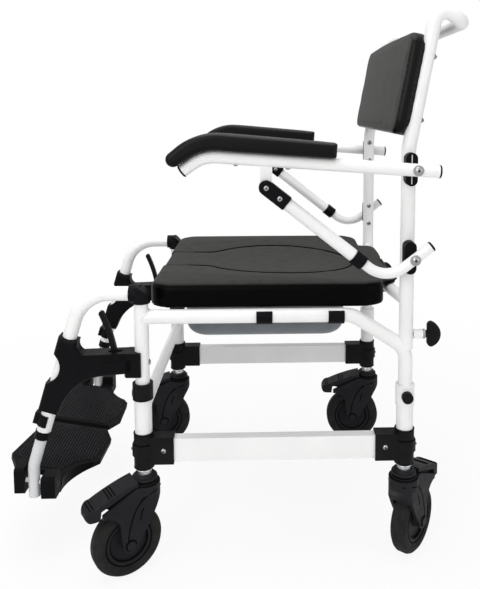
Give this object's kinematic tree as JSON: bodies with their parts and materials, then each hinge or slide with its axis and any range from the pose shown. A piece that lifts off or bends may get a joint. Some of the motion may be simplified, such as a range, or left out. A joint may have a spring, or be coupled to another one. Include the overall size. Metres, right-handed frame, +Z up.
{
  "type": "shower commode wheelchair",
  "caption": "Tube-framed shower and commode chair on braked casters, with lift-out seat insert, bucket, flip-up armrests and swing-away footrests.",
  "frame": {"origin": "on the floor, midway between the four leg axes", "axes": "+Z up, -Y the way the sitter faces, +X the sitter's left"},
  "size_m": [0.5969, 0.8335, 0.9952],
  "materials": {
    "white_paint": "white powder coat",
    "black_plastic": "fine moulded grain",
    "black_foam": "grained foam skin",
    "grey_pan": "smooth moulded",
    "runner_sheet": "smooth",
    "bright_screws": "bright plated",
    "zinc": "zinc plated",
    "foot_metal": "satin anodised",
    "tyre_rubber": "matt"
  },
  "bodies": {
    "base": {"leg_sleeves": "white_paint", "leg_tees": "black_plastic", "side_rails": "white_paint", "front_cross_bar": "white_paint", "sleeve_collars": "black_plastic", "base_screws": "bright_screws", "caster_stems": "zinc"},
    "seat_frame": {"front_posts": "white_paint", "seat_rails": "white_paint", "back_tube": "white_paint", "rear_cross_tube": "white_paint", "arm_brackets": "black_plastic", "latch_blocks": "black_plastic", "frame_bolts": "bright_screws", "seat_pad": "black_foam", "seat_clips": "black_plastic", "bucket_runners": "runner_sheet", "back_cushion": "black_foam"},
    "insert": {"seat_insert": "black_foam"},
    "bucket": {"bucket": "grey_pan"},
    "caster_front_left": {"caster_fork_front_left": "black_plastic"},
    "wheel_front_left": {"caster_hub_front_left": "black_plastic", "caster_tyre_front_left": "tyre_rubber"},
    "pedal_front_left": {"caster_pedal_front_left": "black_plastic"},
    "caster_rear_left": {"caster_fork_rear_left": "black_plastic"},
    "wheel_rear_left": {"caster_hub_rear_left": "black_plastic", "caster_tyre_rear_left": "tyre_rubber"},
    "pedal_rear_left": {"caster_pedal_rear_left": "black_plastic"},
    "caster_front_right": {"caster_fork_front_right": "black_plastic"},
    "wheel_front_right": {"caster_hub_front_right": "black_plastic", "caster_tyre_front_right": "tyre_rubber"},
    "pedal_front_right": {"caster_pedal_front_right": "black_plastic"},
    "caster_rear_right": {"caster_fork_rear_right": "black_plastic"},
    "wheel_rear_right": {"caster_hub_rear_right": "black_plastic", "caster_tyre_rear_right": "tyre_rubber"},
    "pedal_rear_right": {"caster_pedal_rear_right": "black_plastic"},
    "height_pin_left": {"height_pin_left": "black_plastic"},
    "wing_knob_left": {"wing_knob_left": "black_plastic"},
    "hanger_left": {"hanger_tube_left": "white_paint", "hanger_mouldings_left": "black_plastic"},
    "lever_left": {"release_lever_left": "black_plastic"},
    "foot_tube_left": {"foot_tube_left": "foot_metal"},
    "footplate_left": {"footplate_left": "black_plastic"},
    "armrest_left": {"arm_tube_left": "white_paint", "arm_pad_left": "black_foam"},
    "strut_rod_left": {"strut_rod_left": "white_paint"},
    "strut_tube_left": {"strut_tube_left": "white_paint", "strut_fittings_left": "black_plastic"},
    "height_pin_right": {"height_pin_right": "black_plastic"},
    "wing_knob_right": {"wing_knob_right": "black_plastic"},
    "hanger_right": {"hanger_tube_right": "white_paint", "hanger_mouldings_right": "black_plastic"},
    "lever_right": {"release_lever_right": "black_plastic"},
    "foot_tube_right": {"foot_tube_right": "foot_metal"},
    "footplate_right": {"footplate_right": "black_plastic"},
    "armrest_right": {"arm_tube_right": "white_paint", "arm_pad_right": "black_foam"},
    "strut_rod_right": {"strut_rod_right": "white_paint"},
    "strut_tube_right": {"strut_tube_right": "white_paint", "strut_fittings_right": "black_plastic"}
  },
  "joints": [
    {"name": "seat_height", "type": "slide", "parent": "base", "child": "seat_frame", "axis": [0, 0, 1], "range_m": [0, 0.075]},
    {"name": "insert_lift", "type": "slide", "parent": "seat_frame", "child": "insert", "axis": [0, 0, 1], "range_m": [0, 0.06]},
    {"name": "bucket_slide", "type": "slide", "parent": "seat_frame", "child": "bucket", "axis": [0, 1, 0], "range_m": [0, 0.35]},
    {"name": "caster_swivel_front_left", "type": "hinge", "parent": "base", "child": "caster_front_left", "pos_m": [0.23, -0.2325, 0.15], "axis": [0, 0, 1], "continuous": true},
    {"name": "wheel_spin_front_left", "type": "hinge", "parent": "caster_front_left", "child": "wheel_front_left", "pos_m": [0.24908, -0.26303, 0.0625], "axis": [0.848, 0.5299, 0], "continuous": true},
    {"name": "pedal_press_front_left", "type": "hinge", "parent": "caster_front_left", "child": "pedal_front_left", "pos_m": [0.24802, -0.26133, 0.15], "axis": [0.848, 0.5299, 0], "range_deg": [0, 7]},
    {"name": "caster_swivel_rear_left", "type": "hinge", "parent": "base", "child": "caster_rear_left", "pos_m": [0.23, 0.2325, 0.15], "axis": [0, 0, 1], "continuous": true},
    {"name": "wheel_spin_rear_left", "type": "hinge", "parent": "caster_rear_left", "child": "wheel_rear_left", "pos_m": [0.20163, 0.25466, 0.0625], "axis": [-0.6157, -0.788, 0], "continuous": true},
    {"name": "pedal_press_rear_left", "type": "hinge", "parent": "caster_rear_left", "child": "pedal_rear_left", "pos_m": [0.20321, 0.25343, 0.15], "axis": [-0.6157, -0.788, 0], "range_deg": [0, 7]},
    {"name": "caster_swivel_front_right", "type": "hinge", "parent": "base", "child": "caster_front_right", "pos_m": [-0.23, -0.2325, 0.15], "axis": [0, 0, 1], "continuous": true},
    {"name": "wheel_spin_front_right", "type": "hinge", "parent": "caster_front_right", "child": "wheel_front_right", "pos_m": [-0.22375, -0.26795, 0.0625], "axis": [0.9848, 0.1736, 0], "continuous": true},
    {"name": "pedal_press_front_right", "type": "hinge", "parent": "caster_front_right", "child": "pedal_front_right", "pos_m": [-0.2241, -0.26598, 0.15], "axis": [0.9848, 0.1736, 0], "range_deg": [0, 7]},
    {"name": "caster_swivel_rear_right", "type": "hinge", "parent": "base", "child": "caster_rear_right", "pos_m": [-0.23, 0.2325, 0.15], "axis": [0, 0, 1], "continuous": true},
    {"name": "wheel_spin_rear_right", "type": "hinge", "parent": "caster_rear_right", "child": "wheel_rear_right", "pos_m": [-0.23126, 0.19652, 0.0625], "axis": [0.9994, -0.0349, 0], "continuous": true},
    {"name": "pedal_press_rear_right", "type": "hinge", "parent": "caster_rear_right", "child": "pedal_rear_right", "pos_m": [-0.23119, 0.19852, 0.15], "axis": [0.9994, -0.0349, 0], "range_deg": [0, 7]},
    {"name": "height_pin_pull_left", "type": "slide", "parent": "base", "child": "height_pin_left", "axis": [1, 0, 0], "range_m": [0, 0.008]},
    {"name": "wing_knob_turn_left", "type": "hinge", "parent": "seat_frame", "child": "wing_knob_left", "pos_m": [0.23, 0.27, 0.422], "axis": [0, 1, 0], "continuous": true},
    {"name": "hanger_swing_left", "type": "hinge", "parent": "seat_frame", "child": "hanger_left", "pos_m": [0.23, -0.2325, 0.45], "axis": [0, 0, 1], "range_deg": [0, 90]},
    {"name": "lever_pull_left", "type": "hinge", "parent": "hanger_left", "child": "lever_left", "pos_m": [0.23, -0.279, 0.388], "axis": [-1, 0, 0], "range_deg": [0, 20]},
    {"name": "foot_length_left", "type": "slide", "parent": "hanger_left", "child": "foot_tube_left", "axis": [0, -0.2874, -0.9578], "range_m": [-0.03, 0.03]},
    {"name": "plate_flip_left", "type": "hinge", "parent": "foot_tube_left", "child": "footplate_left", "pos_m": [0.23, -0.427, 0.162], "axis": [0, 0.9848, -0.1736], "range_deg": [0, 75]},
    {"name": "arm_flip_left", "type": "hinge", "parent": "seat_frame", "child": "armrest_left", "pos_m": [0.27, 0.239, 0.717], "axis": [-1, 0, 0], "range_deg": [0, 90]},
    {"name": "strut_swing_left", "type": "hinge", "parent": "seat_frame", "child": "strut_rod_left", "pos_m": [0.27, 0.237, 0.565], "axis": [-1, 0, 0], "range_deg": [0, 56.3]},
    {"name": "strut_extend_left", "type": "slide", "parent": "strut_rod_left", "child": "strut_tube_left", "axis": [0, -0.7837, 0.6211], "range_m": [0, 0.128]},
    {"name": "height_pin_pull_right", "type": "slide", "parent": "base", "child": "height_pin_right", "axis": [-1, 0, 0], "range_m": [0, 0.008]},
    {"name": "wing_knob_turn_right", "type": "hinge", "parent": "seat_frame", "child": "wing_knob_right", "pos_m": [-0.23, 0.27, 0.422], "axis": [0, 1, 0], "continuous": true},
    {"name": "hanger_swing_right", "type": "hinge", "parent": "seat_frame", "child": "hanger_right", "pos_m": [-0.23, -0.2325, 0.45], "axis": [0, 0, -1], "range_deg": [0, 90]},
    {"name": "lever_pull_right", "type": "hinge", "parent": "hanger_right", "child": "lever_right", "pos_m": [-0.23, -0.279, 0.388], "axis": [-1, 0, 0], "range_deg": [0, 20]},
    {"name": "foot_length_right", "type": "slide", "parent": "hanger_right", "child": "foot_tube_right", "axis": [0, -0.2874, -0.9578], "range_m": [-0.03, 0.03]},
    {"name": "plate_flip_right", "type": "hinge", "parent": "foot_tube_right", "child": "footplate_right", "pos_m": [-0.23, -0.427, 0.162], "axis": [0, -0.9848, 0.1736], "range_deg": [0, 75]},
    {"name": "arm_flip_right", "type": "hinge", "parent": "seat_frame", "child": "armrest_right", "pos_m": [-0.27, 0.239, 0.717], "axis": [-1, 0, 0], "range_deg": [0, 90]},
    {"name": "strut_swing_right", "type": "hinge", "parent": "seat_frame", "child": "strut_rod_right", "pos_m": [-0.27, 0.237, 0.565], "axis": [-1, 0, 0], "range_deg": [0, 56.3]},
    {"name": "strut_extend_right", "type": "slide", "parent": "strut_rod_right", "child": "strut_tube_right", "axis": [0, -0.7837, 0.6211], "range_m": [0, 0.128]}
  ],
  "couplings": [
    {"joint": "strut_swing_left", "follows": "arm_flip_left", "ratio": 0.6249},
    {"joint": "strut_extend_left", "follows": "arm_flip_left", "m_per_rad": 0.08136},
    {"joint": "strut_swing_right", "follows": "arm_flip_right", "ratio": 0.6249},
    {"joint": "strut_extend_right", "follows": "arm_flip_right", "m_per_rad": 0.08136}
  ]
}
